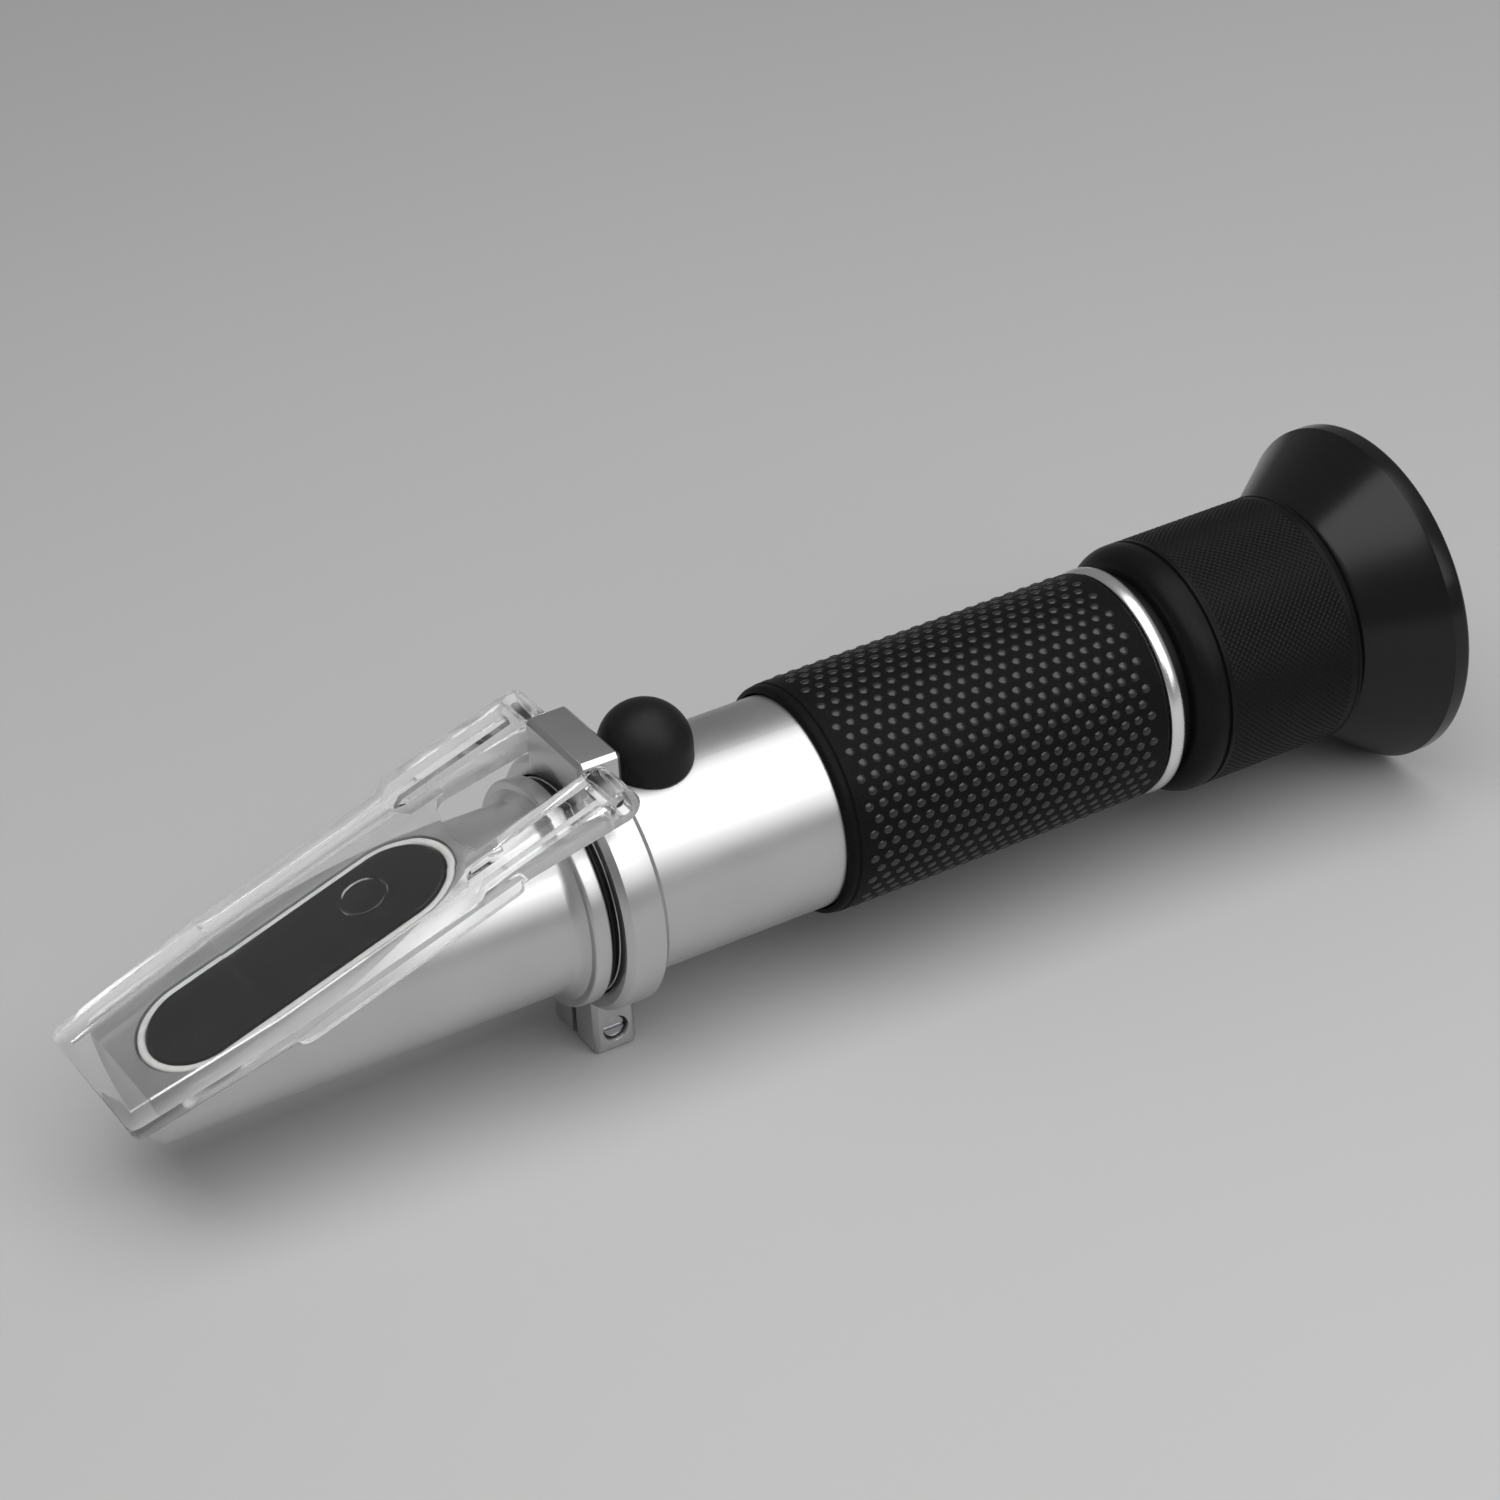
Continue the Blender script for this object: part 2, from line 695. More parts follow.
class REFRACTOMETER_OT_grip(bpy.types.Operator):
    """Rubber sleeve with rows of small nubs between two plain borders"""
    bl_idname = "refractometer.grip"
    bl_label = "Grip sleeve"

    def execute(self, context):
        values = sizes()
        front, rear, radius = ring_of("grip_sleeve")
        base = radius - values.nub_height
        strip = base - STRIP_DROP
        border = front + values.grip_border
        line = FINE_GROOVE
        stations = [(front, bore_of("grip_sleeve"))] + soft_end(front, strip, GRIP_FRONT_EDGE)
        stations += [(border - 2 * line, strip), (border - line, strip - line), (border, strip - line)]
        stations += [(border + 2 * line, base)] + soft_end(rear, base, GRIP_REAR_EDGE, -1)
        stations += [(rear, bore_of("grip_sleeve"))]
        sleeve = turn("grip_sleeve_rubber", stations)
        nubs = self.nubs(border + values.nub_pitch, rear - values.nub_pitch * REAR_BORDER_SHARE, base)
        rubber = black_rubber("Grip rubber", colours().rubber, roughness=0.50, shine=0.07)
        paint(nubs, black_rubber("Rubbed nubs", shade(colours().rubber, RUBBED_SHADE), roughness=0.30,
                                 depth=0.000004, scale=4000, shine=0.6))
        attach(nubs, "body")
        complete(sleeve, rubber, "body", "black_rubber", "grip_sleeve")
        return {"FINISHED"}

    def nubs(self, start, end, radius):
        """One nub, repeated along a row and then round the sleeve, every second row half a pitch on."""
        values = sizes()
        height, half = values.nub_height, values.nub_width / 2
        top = AXIS_HEIGHT + radius
        dome = [(top + height * up, half * out) for up, out in NUB_OUTLINE]
        piece = turn("grip_nubs", dome, NUB_SIDES, "Z", Vector((start, 0, 0)))
        pick(piece)
        edit_all()
        bpy.ops.transform.resize(value=(values.nub_length / values.nub_width, 1, 1),
                                 center_override=(start, 0, top))
        object_mode()
        bpy.ops.object.shade_smooth_by_angle(angle=NUB_SHARP_ANGLE)
        return rows_round(piece, values.nub_pitch, end - start - values.nub_pitch / 2, values.nub_rows)


# Radii of the box's turned nose, of the step behind it and of the spigot in the tube
NOSE_RADIUS = 0.01227
STEP_RADIUS = 0.0136
SPIGOT_RADIUS = 0.0121

# The bend at its tip and the one up to the flange: where each starts and where its corner lies
TIP_BEND = 0.0013
TIP_CORNER = (0.0005, 0.0003)
TIP_STEPS = 5
STEP_BEND = 0.0016
STEP_CORNER = 0.0009
STEP_STEPS = 4
FLANGE_GAP = 0.0012
FLANGE_LENGTH = 0.0024
FLANGE_EDGE = 0.0004

# The inclined flat, from the pin, and the tools for it, the seat of the bead and the light path
FLAT_REACH = 0.0087
FLAT_DROP = 0.00137
FLAT_TOOL = (0.1, 0.06, 0.04)
SEAT_TOP = 0.003
LIGHT_PATH_TOOL = (0.0082, 0.04)

BLOCK_DEPTH = 0.03
BLOCK_EDGE = 0.00015
FACE_RISE = 0.0003


class REFRACTOMETER_OT_prism_box(bpy.types.Operator):
    """Turned nose cut to the inclined flat, with the prism and its bead let into it"""
    bl_idname = "refractometer.prism_box"
    bl_label = "Prism box"

    def execute(self, context):
        complete(self.body(), satin_metal("Satin aluminium box", colours().aluminium, roughness=0.36),
                 "body", "satin_aluminium", "prism_box")
        complete(self.block(), dark_glass("Prism glass", colours().prism), "body", "dark_glass", "prism")
        complete(self.bead(), bead_finish("Pale bead", colours().bead), "body", "pale_bead", "prism_seal")
        return {"FINISHED"}

    def body(self):
        """The turned nose and flange, cut flat, with the bead's seat, the pocket and the light path."""
        low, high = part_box("prism_box")
        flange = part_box("barrel")[0].x - FLANGE_GAP
        flange_front = flange - FLANGE_LENGTH
        along, inwards = TIP_CORNER
        stations = [(low.x, 0)]
        stations += curve_between((low.x, NOSE_RADIUS - TIP_BEND), (low.x + along, NOSE_RADIUS - inwards),
                                  (low.x + TIP_BEND, NOSE_RADIUS), TIP_STEPS)
        stations += curve_between((flange_front - STEP_BEND, NOSE_RADIUS),
                                  (flange_front - STEP_CORNER, NOSE_RADIUS),
                                  (flange_front, STEP_RADIUS), STEP_STEPS)
        stations += soft_end(flange_front, high.y, FLANGE_EDGE) + soft_end(flange, high.y, FLANGE_EDGE, -1)
        stations += [(flange, SPIGOT_RADIUS), (high.x, SPIGOT_RADIUS), (high.x, 0)]
        body = turn("prism_box_body", stations)
        combine(body, self.flat_tool(), "DIFFERENCE")
        combine(body, self.seat_tool(), "DIFFERENCE")
        combine(body, self.block(GAP), "DIFFERENCE")
        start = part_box("prism")[1].x
        light_path = add_cutter("light_path", "ROD", (start + LIGHT_PATH_TOOL[1] / 2, 0, AXIS_HEIGHT),
                                LIGHT_PATH_TOOL, AXES["X"][0])
        combine(body, light_path, "DIFFERENCE")
        return body

    def flat_tool(self):
        """The tool that cuts the inclined flat."""
        length, _, depth = FLAT_TOOL
        lean = Matrix.Rotation(-PLATE_TILT, 4, "Y")
        middle = lean @ Vector((-FLAT_REACH - length / 2, 0, -FLAT_DROP + depth / 2))
        return add_cutter("flat", "BOX", PIN + middle, FLAT_TOOL, (0, -PLATE_TILT, 0))

    def seat_tool(self):
        """The round-ended tool that cuts the bead's seat."""
        foot = -BEAD_DEPTH / 2 - GAP
        half = SEAL_HALF_WIDTH + GAP
        return window_piece("seat", [(foot, 0), (foot, half), (SEAT_TOP, half), (SEAT_TOP, 0)], SEAL_MIDDLE)

    def block(self, margin=0.0):
        """The glass block under the window, cut off below and behind. A margin makes it its own pocket."""
        low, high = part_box("prism")
        half = SEAL_HALF_WIDTH - BEAD_WIDTH - GAP + margin
        face = BEAD_DEPTH / 2 + FACE_RISE + margin
        stations = [(-BLOCK_DEPTH, 0), (-BLOCK_DEPTH, half), (face - BLOCK_EDGE, half),
                    (face, half - BLOCK_EDGE), (face, 0)]
        block = window_piece("prism_block", stations, SEAL_MIDDLE)
        for place, normal in (((0, 0, low.z - margin), (0, 0, 1)), ((high.x + margin, 0, 0), (-1, 0, 0))):
            edit_all()
            bpy.ops.mesh.bisect(plane_co=place, plane_no=normal, clear_inner=True, use_fill=True)
            tidy_mesh()
            object_mode()
        return block

    def bead(self):
        """The bead round the window, with a swollen top."""
        outer, inner = SEAL_HALF_WIDTH, SEAL_HALF_WIDTH - BEAD_WIDTH
        top, low = BEAD_DEPTH / 2, -BEAD_DEPTH / 2
        swell = BEAD_WIDTH / 2
        crest = quarter(((outer + inner) / 2, top - swell / 2), (swell, swell / 2), 180, 0, BEAD_STEPS)
        stations = [(low, inner)] + [(place, radius) for radius, place in crest] + [(low, outer)]
        return window_piece("prism_bead", stations, SEAL_MIDDLE)


PIN_EDGE_SHARE = 0.4
CLAMP_HEAD_LENGTH = 0.0012
CLAMP_SHANK_RADIUS = 0.0009
CLAMP_SLOT = (0.0010, 0.0005)
NUT_SIDES = 6
NUT_DRILL = (0.0012, 0.01)
SEAL_STEPS = 12


class REFRACTOMETER_OT_hinge_collar(bpy.types.Operator):
    """Band with its hinge block and clamp ears, the pin, the clamp screw and the seal ring"""
    bl_idname = "refractometer.hinge_collar"
    bl_label = "Hinge collar"

    def execute(self, context):
        collar = copy_of("hinge_collar", "hinge_collar_band")
        round_edges(collar, sizes().fine_bevel)
        complete(collar, satin_metal("Satin aluminium collar", colours().aluminium, roughness=0.34),
                 "body", "satin_aluminium", "hinge_collar")

        steel = turned_metal("Bright steel", colours().steel, roughness=0.24)
        dark = turned_metal("Dark steel", colours().pin, roughness=0.40)
        for piece, node, finish in ((self.pin(), "hinge_pin", dark),
                                    (self.clamp_screw(), "clamp_screw", steel),
                                    (self.clamp_nut(), "clamp_nut", steel)):
            complete(piece, finish, "body", "steel", node)

        front, rear, radius = ring_of("front_seal_ring")
        half = (rear - front) / 2
        swell = quarter(((front + rear) / 2, radius - half), (half, half), 180, 0, SEAL_STEPS)
        low = bore_of("front_seal_ring")
        seal = turn("front_seal", [(front, low)] + swell + [(rear, low)])
        complete(seal, black_rubber("Seal rubber", colours().rubber, roughness=0.5),
                 "body", "black_rubber", "front_seal_ring")
        return {"FINISHED"}

    def pin(self):
        """A plain pin with rounded ends."""
        low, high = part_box("hinge_pin")
        radius = (high.z - low.z) / 2
        edge = radius * PIN_EDGE_SHARE
        stations = [(low.y, 0)] + soft_end(low.y, radius, edge)
        stations += soft_end(high.y, radius, edge, -1) + [(high.y, 0)]
        return turn("hinge_pin_steel", stations, SMALL_SIDES, "Y", Vector((PIN.x, 0, PIN.z)))

    def clamp_screw(self):
        """A cheese-head screw with a slot cut across its head."""
        low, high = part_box("clamp_screw")
        middle = (low + high) / 2
        head, shank = (high.z - low.z) / 2, CLAMP_SHANK_RADIUS
        under = low.y + CLAMP_HEAD_LENGTH
        edge = sizes().fine_bevel
        stations = [(low.y, 0)] + soft_end(low.y, head, edge)
        stations += [(under, head), (under, shank)] + soft_end(high.y, shank, edge, -1) + [(high.y, 0)]
        screw = turn("clamp_screw_steel", stations, SMALL_SIDES, "Y", Vector((middle.x, 0, middle.z)))
        slot = add_cutter("slot", "BOX", (middle.x, low.y, middle.z), (head * 3, *CLAMP_SLOT))
        combine(screw, slot, "DIFFERENCE")
        return screw

    def clamp_nut(self):
        """A hexagon nut, drilled and with its corners rounded."""
        low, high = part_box("clamp_nut")
        middle = (low + high) / 2
        corner = max(high.z - low.z, high.x - low.x) / 2
        nut = turn("clamp_nut_steel", [(low.y, 0), (low.y, corner), (high.y, corner), (high.y, 0)],
                   NUT_SIDES, "Y", Vector((middle.x, 0, middle.z)))
        combine(nut, add_cutter("hole", "ROD", middle, NUT_DRILL, AXES["Y"][0]), "DIFFERENCE")
        round_edges(nut, sizes().fine_bevel * STEEL_EDGE, 2)
        return nut


# The moulding mark's place from the pin, and its width and height as a share of its radius
MARK_PLACE = Vector((-0.0300, 0, 0.00023))
MARK_SHARE = 0.06


class REFRACTOMETER_OT_daylight_plate(bpy.types.Operator):
    """Clear plate with soft moulded edges and a round moulding mark"""
    bl_idname = "refractometer.daylight_plate"
    bl_label = "Daylight plate"

    def execute(self, context):
        plate = copy_of("daylight_plate", "daylight_plate_clear")
        round_edges(plate, sizes().soft_bevel)
        combine(plate, self.mark(), "UNION")
        complete(plate, clear_plastic("Clear plastic", colours().clear),
                 "plate", "clear_plastic", "daylight_plate")
        return {"FINISHED"}

    def mark(self):
        """The round mark that the mould leaves: a low ring on the floor of the plate."""
        radius = sizes().mark_radius
        size = radius * MARK_SHARE
        ring = turn("mark", [(-size, radius - size), (-size, radius + size), (0, radius + size),
                             (size, radius), (0, radius - size)], SMALL_SIDES, "Z", ORIGIN)
        ring.rotation_euler = (0, -PLATE_TILT, 0)
        ring.location = PIN + Matrix.Rotation(-PLATE_TILT, 4, "Y") @ MARK_PLACE
        settle(ring)
        return ring


# The cap's foot above the optical axis, and the bend inside its roof
CAP_FOOT = 0.0115
CAP_STEPS = 18
ROOF_BEND = 0.0005
SADDLE_LENGTH = 0.1
SPINDLE_RADIUS = 0.0010
ZERO_HEAD_LENGTH = 0.0017
ZERO_SLOT = (0.0008, 0.0016)


class REFRACTOMETER_OT_calibration(bpy.types.Operator):
    """Rubber cap over the zero screw and its bush"""
    bl_idname = "refractometer.calibration"
    bl_label = "Calibration cap and screw"

    def execute(self, context):
        low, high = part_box("calibration_cap")
        middle = (low + high) / 2
        centre = Vector((middle.x, 0, 0))
        cap = self.cap(centre, (high.x - low.x) / 2, high.z)
        complete(cap, black_rubber("Cap rubber", colours().rubber, roughness=0.50),
                 "cap", "black_rubber", "calibration_cap")

        bush = copy_of("calibration_bush", "calibration_bush_steel")
        round_edges(bush, sizes().fine_bevel * STEEL_EDGE, 2)
        complete(bush, turned_metal("Bush steel", colours().steel, roughness=0.25),
                 "body", "steel", "calibration_bush")

        complete(self.screw(centre), turned_metal("Screw brass", colours().brass, roughness=0.28),
                 "zero_screw", "brass", "calibration_screw")
        return {"FINISHED"}

    def cap(self, centre, radius, top):
        """A domed cap, hollow over the bush, whose foot sits on the tube."""
        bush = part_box("calibration_bush")[1]
        roof = bush.z + GAP
        inside = (bush.x - centre.x) + GAP
        foot = AXIS_HEIGHT + CAP_FOOT
        dome = quarter((top - radius, 0), (radius, radius), 0, 90, CAP_STEPS)
        dome[0] = (top, 0)
        stations = dome + [(foot, radius), (foot, inside), (roof - ROOF_BEND, inside),
                           (roof, inside - ROOF_BEND), (roof, 0)]
        cap = turn("calibration_cap_rubber", stations, RING_SIDES, "Z", centre)
        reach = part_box("barrel")[1].y + GAP
        saddle = add_cutter("tube", "ROD", OPTICAL_AXIS, (reach, SADDLE_LENGTH), AXES["X"][0])
        combine(cap, saddle, "DIFFERENCE")
        return cap

    def screw(self, centre):
        """The slotted zero screw."""
        low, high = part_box("calibration_screw")
        head, spindle, under = (high.x - low.x) / 2, SPINDLE_RADIUS, high.z - ZERO_HEAD_LENGTH
        stations = [(high.z, 0)] + soft_end(high.z, head, sizes().fine_bevel, -1)[::-1]
        stations += [(under, head), (under, spindle), (low.z, spindle), (low.z, 0)]
        screw = turn("calibration_screw_brass", stations, SMALL_SIDES, "Z", centre)
        slot = add_cutter("slot", "BOX", (centre.x, 0, high.z), (head * 3, *ZERO_SLOT))
        combine(screw, slot, "DIFFERENCE")
        return screw


# The ring's rounded nose: its reach and height, and where it ends
RING_NOSE = (0.0032, 0.0029)
RING_NOSE_END = 0.0044
RING_NOSE_STEPS = 14

# The groove behind the nose, as places along it and depths
GROOVE_START = 0.0007
GROOVE = ((0, 0), (0.0001, 0.0003), (0.0002, 0.0004), (0.0005, 0.0004), (0.0006, 0.0003), (0.0007, 0))
KNURL_FRONT_BORDER = 0.0012
KNURL_REAR_BORDER = 0.0008
KNURL_SPREAD = 1.9
RING_REAR_EDGE = 0.0007

# Inside the ring: the spigot for the eyecup and its wall, the web on the lens tube, and the thread
RING_SPIGOT = 0.0140
RING_WALL = 0.0012
WEB_START = 0.0033
WEB_LENGTH = 0.0030
THREAD_RADIUS = 0.0121


class REFRACTOMETER_OT_focus_ring(bpy.types.Operator):
    """Black ring with a smooth round nose, a groove and a fine knurl"""
    bl_idname = "refractometer.focus_ring"
    bl_label = "Focus ring"

    def execute(self, context):
        cut = sizes().knurl_depth
        front, spigot_end, radius = ring_of("focus_ring")
        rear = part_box("eyecup")[0].x - GAP
        hub = radius - RING_NOSE[1]
        nose_end = front + RING_NOSE_END
        groove = nose_end + GROOVE_START
        start, end, low = groove + KNURL_FRONT_BORDER, rear - KNURL_REAR_BORDER, radius - cut
        stations = [(front, hub)] + quarter((nose_end, hub), RING_NOSE, 180, 90, RING_NOSE_STEPS)
        stations += [(groove + along, radius - deep) for along, deep in GROOVE]
        stations += [(start, radius), (start + cut, low), (end - cut, low), (end, radius)]
        stations += soft_end(rear, radius, RING_REAR_EDGE, -1) + [(rear, RING_SPIGOT)]
        ring = turn("focus_ring_black", stations + self.inside(front, spigot_end))
        plastic = black_rubber("Black plastic", colours().plastic, roughness=0.36, depth=0.000006,
                               scale=4000, shine=0.11)
        knurl = self.knurl(start + cut, end - cut, low)
        paint(knurl, plastic)
        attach(knurl, "focus")
        complete(ring, plastic, "focus", "black_plastic", "focus_ring")
        return {"FINISHED"}

    def inside(self, front, spigot_end):
        """Stations of the spigot's end, the web and the thread."""
        pocket = RING_SPIGOT - RING_WALL
        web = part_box("focus_retainer")[0].x - WEB_START
        web_end = web + WEB_LENGTH
        hole = bore_of("focus_ring")
        stations = soft_end(spigot_end, RING_SPIGOT, sizes().fine_bevel, -1)
        return stations + [(spigot_end, pocket), (web_end, pocket), (web_end, hole), (web, hole),
                           (web, THREAD_RADIUS), (front, THREAD_RADIUS)]

    def knurl(self, start, end, radius):
        """Small diamond points in crossing rows."""
        values = sizes()
        pitch = 2 * math.pi * radius / values.knurl_teeth
        low = AXIS_HEIGHT + radius - values.knurl_depth
        tip = AXIS_HEIGHT + radius + values.knurl_depth
        half = pitch / 2
        point = turn("focus_knurl", [(low, 0), (low, half * KNURL_SPREAD), (tip, 0)], 4, "Z",
                     Vector((start + half, 0, 0)))
        return rows_round(point, pitch, end - start - 2 * pitch, values.knurl_teeth * 2)


# The eyecup's seat on the ring and its hole, its cone, its wall and the length of its rim
CUP_SEAT = 0.0143
CUP_HOLE = 0.0118
CONE_LENGTH = 0.0076
BASE_RADIUS = 0.0159
CONE_RADIUS = 0.0213
CUP_WALL = 0.0016
RIM_LENGTH = 0.0026
FLOOR_DEPTH = 0.0014

# Its bends: at the floor, and at the foot along and inwards, with the steps of each curve
FLOOR_BEND = 0.0012
FOOT_BEND = (0.0008, 0.0004)
LIP_STEPS = 10
OUTER_STEPS = 14
FOOT_STEPS = 4
FLOOR_STEPS = 5
INNER_STEPS = 12
CUP_SHARP_ANGLE = math.radians(45)


class REFRACTOMETER_OT_eyecup(bpy.types.Operator):
    """Soft rubber cone, thin at its rounded rim"""
    bl_idname = "refractometer.eyecup"
    bl_label = "Eyecup"

    def execute(self, context):
        front, rear, radius = ring_of("eyecup")
        cone_end = front + CONE_LENGTH
        slope = (CONE_RADIUS - BASE_RADIUS) / (cone_end - front)
        rim_start = rear - RIM_LENGTH
        corner = cone_end + (radius - CONE_RADIUS) / slope
        half = CUP_WALL / 2
        inner_rim = radius - CUP_WALL
        inner_cone = CONE_RADIUS - CUP_WALL * math.hypot(1, slope)
        bend, edge = FOOT_BEND
        stations = quarter((rear - half, radius - half), (half, half), -90, 90, LIP_STEPS)
        stations += curve_between((rim_start, radius), (corner, radius), (cone_end, CONE_RADIUS),
                                  OUTER_STEPS)
        stations += curve_between((front + bend, BASE_RADIUS + bend * slope), (front, BASE_RADIUS),
                                  (front, BASE_RADIUS - edge), FOOT_STEPS)
        stations += self.floor(front, cone_end, inner_cone, slope)
        stations += curve_between((cone_end, inner_cone), (corner, inner_rim), (rim_start, inner_rim),
                                  INNER_STEPS)
        rubber = black_rubber("Eyecup rubber", colours().eyecup, roughness=0.22, depth=0.000005,
                              scale=3500, shine=0.34)
        complete(turn("eyecup_rubber", stations), rubber, "focus", "soft_rubber", "eyecup",
                 angle=CUP_SHARP_ANGLE)
        return {"FINISHED"}

    def floor(self, front, cone_end, inner_cone, slope):
        """Stations of the seat on the focus ring, the floor with its hole, and the bend up to the cone."""
        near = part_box("focus_ring")[1].x + GAP
        far = near + FLOOR_DEPTH
        foot = inner_cone - (cone_end - far) * slope
        bend_end = (far + FLOOR_BEND, inner_cone - (cone_end - far - FLOOR_BEND) * slope)
        stations = [(front, CUP_SEAT), (near, CUP_SEAT), (near, CUP_HOLE), (far, CUP_HOLE)]
        return stations + curve_between((far, foot - FLOOR_BEND), (far, foot), bend_end, FLOOR_STEPS)


LENS_BULGE = 0.0011
LENS_RIM = 0.0012
LENS_STEPS = 10


class REFRACTOMETER_OT_optics(bpy.types.Operator):
    """Lenses, scale and blackened sleeves inside the barrel"""
    bl_idname = "refractometer.optics"
    bl_label = "Optics"

    def execute(self, context):
        glass = lens_glass("Lens glass")
        black = satin_metal("Blackened sleeve", colours().blackened, roughness=0.42)
        steel = turned_metal("Retainer steel", colours().steel, roughness=0.28)
        slots = {glass: "clear_glass", black: "black_anodised", steel: "steel"}
        turned = {"scale_retainer": black, "lens_retainer": black, "objective_retainer": black,
                  "lens_spacer": black, "focus_retainer": steel, "field_lens": glass, "eye_lens": glass}
        for node, finish in turned.items():
            piece = self.lens(node) if finish == glass else self.plain_ring(node)
            complete(piece, finish, frame["nodes"][node]["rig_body"], slots[finish], node)
        copied = {"objective_guide": black, "objective_frame": black, "scale_holder": black,
                  "eyepiece_mount": black, "lens_tube": black, "objective_lens": glass,
                  "scale_plate": glass, "guide_screw": steel}
        for node, finish in copied.items():
            piece = copy_of(node, node + "_finished")
            round_edges(piece, sizes().fine_bevel * INNER_EDGE, 2)
            complete(piece, finish, frame["nodes"][node]["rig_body"], slots[finish], node)
        return {"FINISHED"}

    def plain_ring(self, node):
        """A ring with its outer edges broken."""
        front, rear, radius = ring_of(node)
        edge = sizes().fine_bevel * RING_EDGE
        low = bore_of(node)
        stations = [(front, low)] + soft_end(front, radius, edge) + soft_end(rear, radius, edge, -1)
        return turn(node + "_turned", stations + [(rear, low)], RING_SIDES)

    def lens(self, node):
        """A lens with both faces crowned inside a flat rim."""
        front, rear, radius = ring_of(node)
        bulge, steps = LENS_BULGE, LENS_STEPS
        reach = radius - LENS_RIM
        face = [(bulge * (1 - (share / steps) ** 2), reach * share / steps) for share in range(steps + 1)]
        stations = [(front + bulge - rise, r) for rise, r in face]
        stations += [(front + bulge, radius), (rear - bulge, radius)]
        stations += [(rear - bulge + rise, r) for rise, r in reversed(face)]
        return turn(node + "_turned", stations, RING_SIDES)


TABLE_SIZE = 6
ROOM_COLOUR = (0.85, 0.85, 0.85, 1)
ROOM_STRENGTH = 0.24
SENSOR_WIDTH = 36
NEAR_CLIP = 0.01

# Each lamp's name, place, target, size and power
LAMPS = (("top_light", (0.0, -0.33, 0.65), (0.0, -0.33, 0), (1.0, 1.05), 6.4),
         ("front_light", (0.38, -0.80, 0.52), (0, 0, 0.02), (0.7, 0.5), 1.5))


class REFRACTOMETER_OT_stage(bpy.types.Operator):
    """Pale table, soft light and the camera"""
    bl_idname = "refractometer.stage"
    bl_label = "Stage"

    def execute(self, context):
        deselect()
        bpy.ops.mesh.primitive_plane_add(size=TABLE_SIZE, location=(0, 0, 0))
        table = context.object
        table.name = "table"
        paint(table, table_finish("Table top", colours().floor))

        for lamp in LAMPS:
            self.soft_light(*lamp)

        world = bpy.data.worlds.new("Soft room")
        context.scene.world = world
        world.use_nodes = True
        backdrop = world.node_tree.nodes["Background"]
        backdrop.inputs["Color"].default_value = ROOM_COLOUR
        backdrop.inputs["Strength"].default_value = ROOM_STRENGTH
        self.camera(context.scene)
        context.scene.view_settings.view_transform = "Standard"
        return {"FINISHED"}

    def soft_light(self, name, place, target, size, power):
        """A rectangular lamp that shines at its target."""
        lamp = bpy.data.lights.new(name, "AREA")
        lamp.shape = "RECTANGLE"
        lamp.size, lamp.size_y = size
        lamp.energy = power
        holder = bpy.data.objects.new(name, lamp)
        bpy.context.scene.collection.objects.link(holder)
        holder.location = place
        direction = Vector(target) - Vector(place)
        holder.rotation_euler = direction.to_track_quat("-Z", "Y").to_euler()

    def camera(self, scene):
        """The camera, as set in the sidebar."""
        view = scene.refractometer_view
        lens = bpy.data.cameras.new("camera")
        lens.lens = view.lens
        lens.sensor_width = SENSOR_WIDTH
        lens.clip_start = NEAR_CLIP
        camera = bpy.data.objects.new("camera", lens)
        scene.collection.objects.link(camera)
        look = Vector(view.look).normalized()
        side = look.cross(Vector(view.upright)).normalized()
        upright = side.cross(look)
        pose = Matrix((side, upright, -look)).transposed().to_4x4()
        camera.matrix_world = Matrix.Translation(Vector(view.eye)) @ pose
        scene.camera = camera


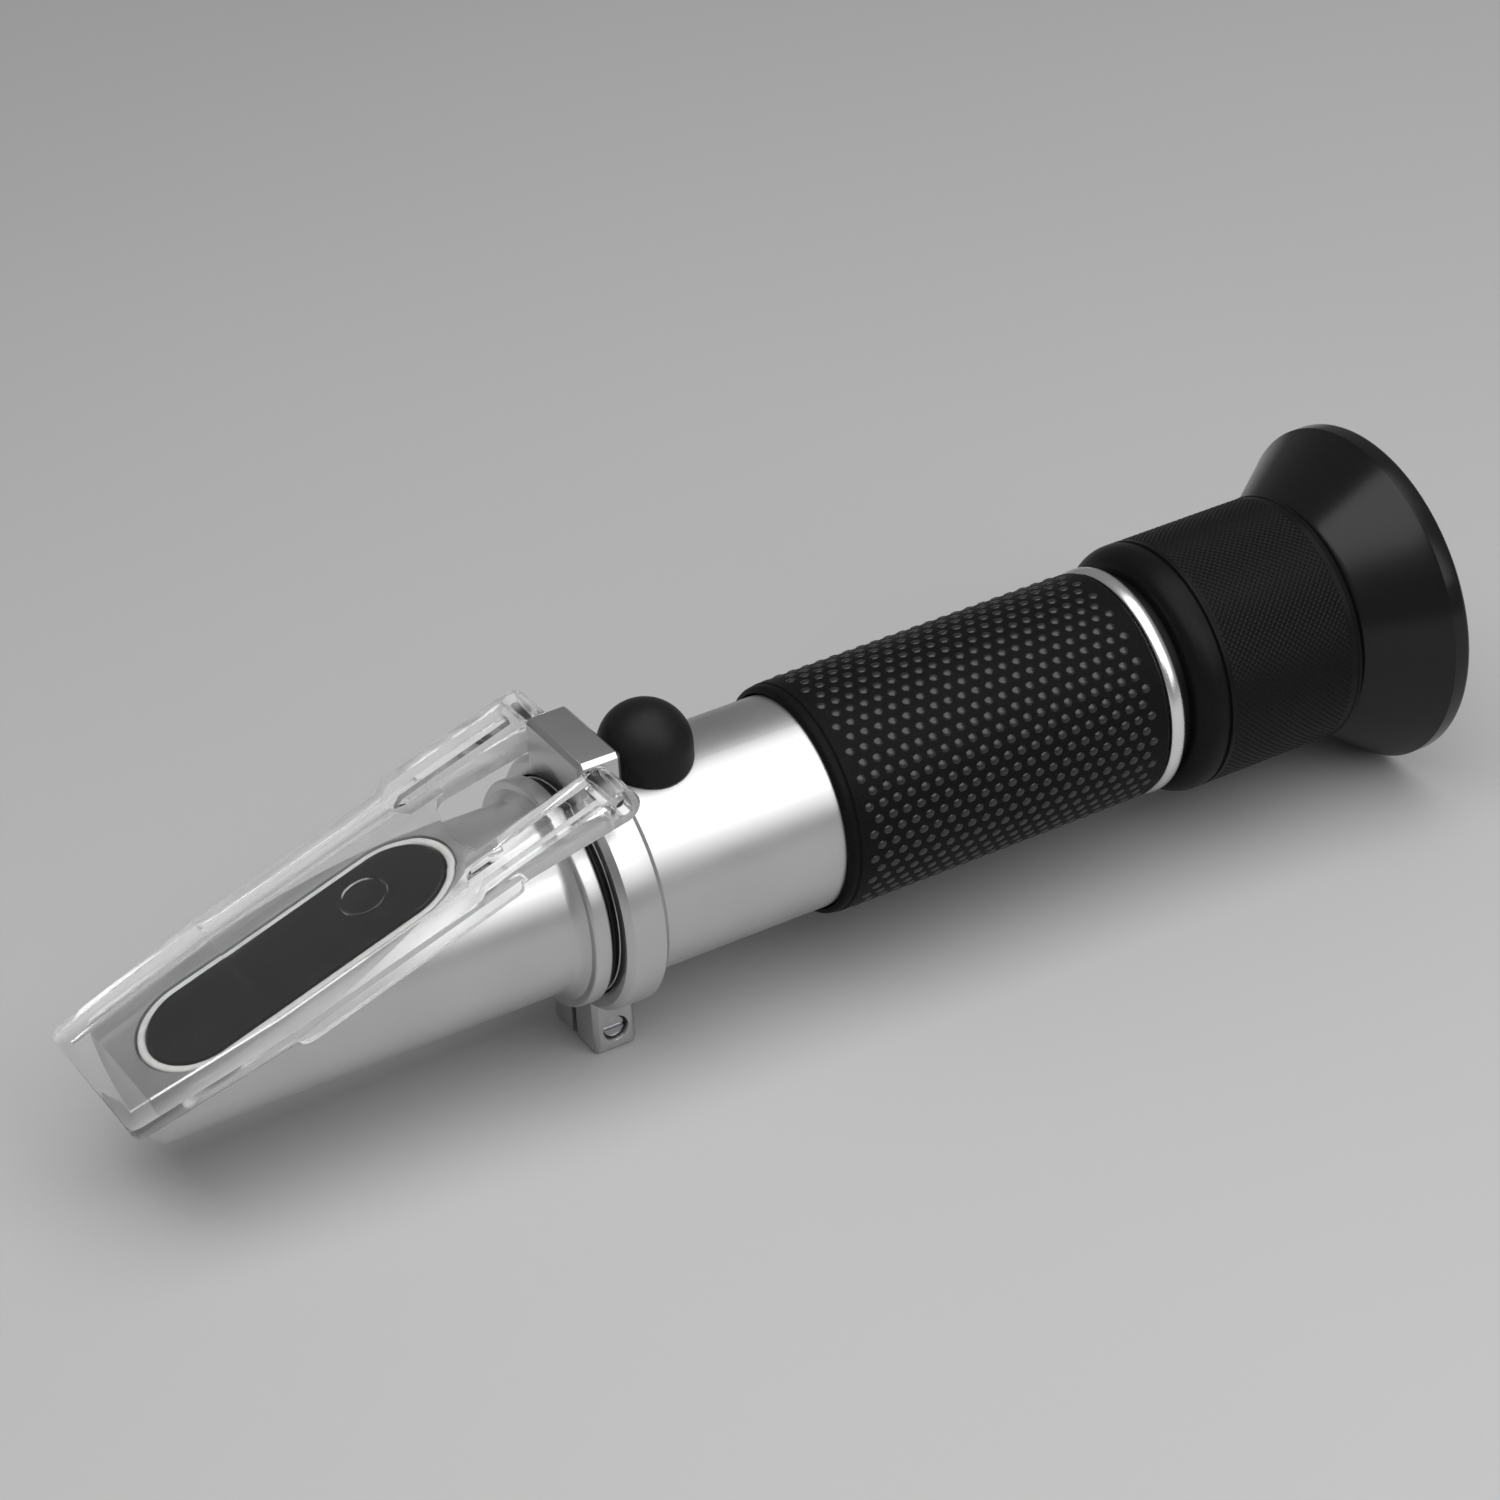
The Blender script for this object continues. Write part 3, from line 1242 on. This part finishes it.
class REFRACTOMETER_PT_panel(bpy.types.Panel):
    """Lists the steps that build the refractometer"""
    bl_idname = "REFRACTOMETER_PT_panel"
    bl_label = "Brix refractometer"
    bl_space_type = "VIEW_3D"
    bl_region_type = "UI"
    bl_category = "Refractometer"

    def draw(self, context):
        for group in ("refractometer_sizes", "refractometer_colours", "refractometer_view"):
            box = self.layout.box()
            values = getattr(context.scene, group)
            for name in values.bl_rna.properties.keys():
                if name not in ("rna_type", "name"):
                    box.prop(values, name)
        for step in STEPS:
            self.layout.operator(step.bl_idname)


STEPS = (REFRACTOMETER_OT_barrel, REFRACTOMETER_OT_grip, REFRACTOMETER_OT_prism_box,
         REFRACTOMETER_OT_hinge_collar, REFRACTOMETER_OT_daylight_plate, REFRACTOMETER_OT_calibration,
         REFRACTOMETER_OT_focus_ring, REFRACTOMETER_OT_eyecup, REFRACTOMETER_OT_optics,
         REFRACTOMETER_OT_stage)
GROUPS = (RefractometerSizes, RefractometerColours, RefractometerView)


def register():
    """Add the settings, the steps and the panel."""
    for part in GROUPS + STEPS + (REFRACTOMETER_PT_panel,):
        bpy.utils.register_class(part)
    bpy.types.Scene.refractometer_sizes = PointerProperty(type=RefractometerSizes)
    bpy.types.Scene.refractometer_colours = PointerProperty(type=RefractometerColours)
    bpy.types.Scene.refractometer_view = PointerProperty(type=RefractometerView)


def unregister():
    """Take them away again."""
    del bpy.types.Scene.refractometer_view
    del bpy.types.Scene.refractometer_colours
    del bpy.types.Scene.refractometer_sizes
    for part in reversed(GROUPS + STEPS + (REFRACTOMETER_PT_panel,)):
        bpy.utils.unregister_class(part)


def main():
    """Build every piece and the stage, and note the boxes of the solids and of the looks."""
    register()
    bpy.ops.refractometer.barrel()
    bpy.ops.refractometer.grip()
    bpy.ops.refractometer.prism_box()
    bpy.ops.refractometer.hinge_collar()
    bpy.ops.refractometer.daylight_plate()
    bpy.ops.refractometer.calibration()
    bpy.ops.refractometer.focus_ring()
    bpy.ops.refractometer.eyecup()
    bpy.ops.refractometer.optics()
    bpy.ops.refractometer.stage()


if __name__ == "__main__":
    main()
